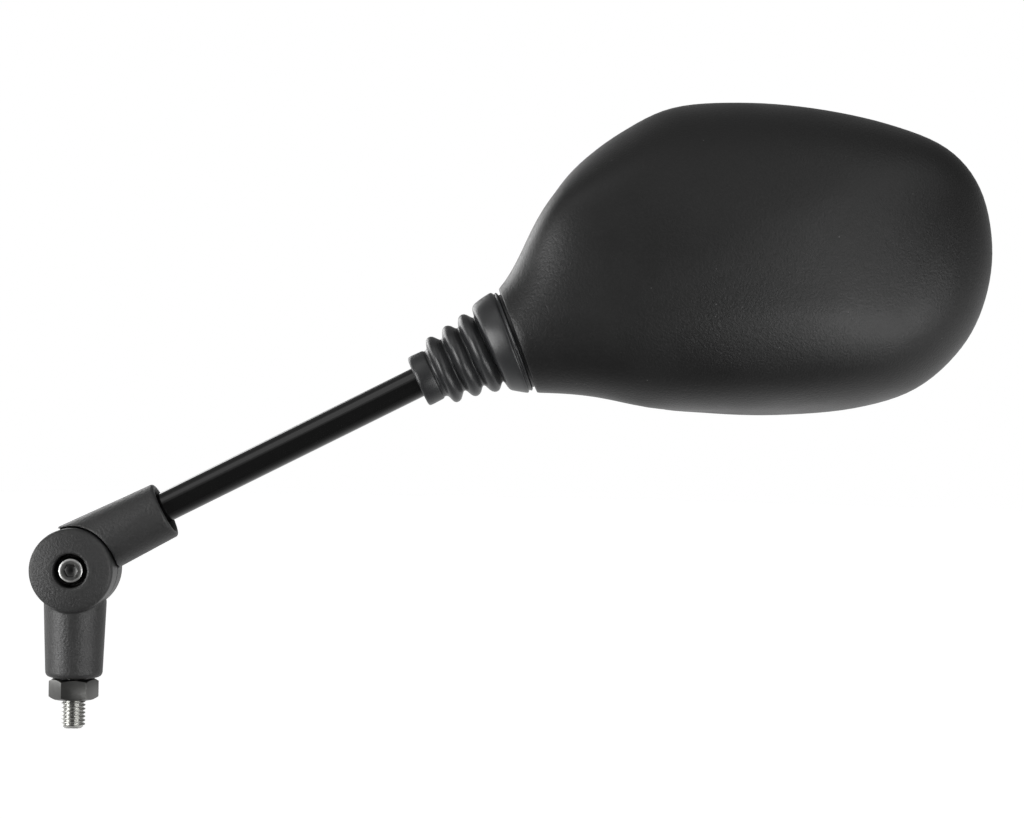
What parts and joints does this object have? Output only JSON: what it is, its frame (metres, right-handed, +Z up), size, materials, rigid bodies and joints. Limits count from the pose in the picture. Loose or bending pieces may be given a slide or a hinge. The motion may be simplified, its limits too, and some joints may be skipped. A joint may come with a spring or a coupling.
{
  "type": "motorcycle rear-view mirror",
  "caption": "Left-hand motorcycle mirror with a threaded stud, folding knuckle, round stem, rubber bellows and a ball-jointed teardrop head with convex glass.",
  "frame": {"origin": "on the stud's axis at the clamp face of the lock nut", "axes": "+Z up along the stud, +X towards the head, +Y the way the glass faces"},
  "size_m": [0.3155, 0.0435, 0.2112],
  "materials": {
    "zinc_steel": "zinc-plated",
    "black_steel": "satin",
    "knuckle_nylon": "fine-grained matte",
    "rod_paint": "gloss black",
    "boot_rubber": "satin",
    "shell_plastic": "fine-grained matte",
    "nylon_natural": "smooth",
    "inner_plastic": "smooth",
    "foam": "foam",
    "mirror_glass": "convex first-quality mirror"
  },
  "bodies": {
    "base": {"mounting_stud": "zinc_steel", "lock_nut": "zinc_steel", "lower_knuckle": "knuckle_nylon", "friction_washer": "inner_plastic"},
    "arm": {"upper_knuckle": "knuckle_nylon", "pivot_screw": "black_steel", "pivot_washer": "black_steel", "pivot_nut": "black_steel", "stem_rod": "rod_paint", "stem_ball": "zinc_steel"},
    "boot": {"bellows_boot": "boot_rubber"},
    "liner": {"ball_liner": "nylon_natural"},
    "head": {"ball_seat": "inner_plastic", "ball_cap": "inner_plastic", "clamp_screw_1": "zinc_steel", "clamp_screw_2": "zinc_steel", "clamp_spring_1": "zinc_steel", "clamp_spring_2": "zinc_steel", "housing": "shell_plastic", "backing_plate": "inner_plastic", "glass_pad": "foam", "mirror_glass": "mirror_glass"}
  },
  "joints": [
    {"name": "knuckle_fold", "type": "hinge", "parent": "base", "child": "arm", "pos_m": [0, 0, 0.04265], "axis": [0, -1, 0], "range_deg": [-30, 60]},
    {"name": "head_swivel", "type": "hinge", "parent": "arm", "child": "boot", "pos_m": [0.1548, 0, 0.12863], "axis": [0.8878, 0, 0.4602], "range_deg": [-40, 40]},
    {"name": "head_tilt", "type": "hinge", "parent": "boot", "child": "liner", "pos_m": [0.1548, 0, 0.12863], "axis": [0, -1, 0], "range_deg": [-10, 10], "deforming": ["bellows_boot"]},
    {"name": "head_yaw", "type": "hinge", "parent": "liner", "child": "head", "pos_m": [0.1548, 0, 0.12863], "axis": [-0.4602, 0, 0.8878], "range_deg": [-10, 10]}
  ]
}
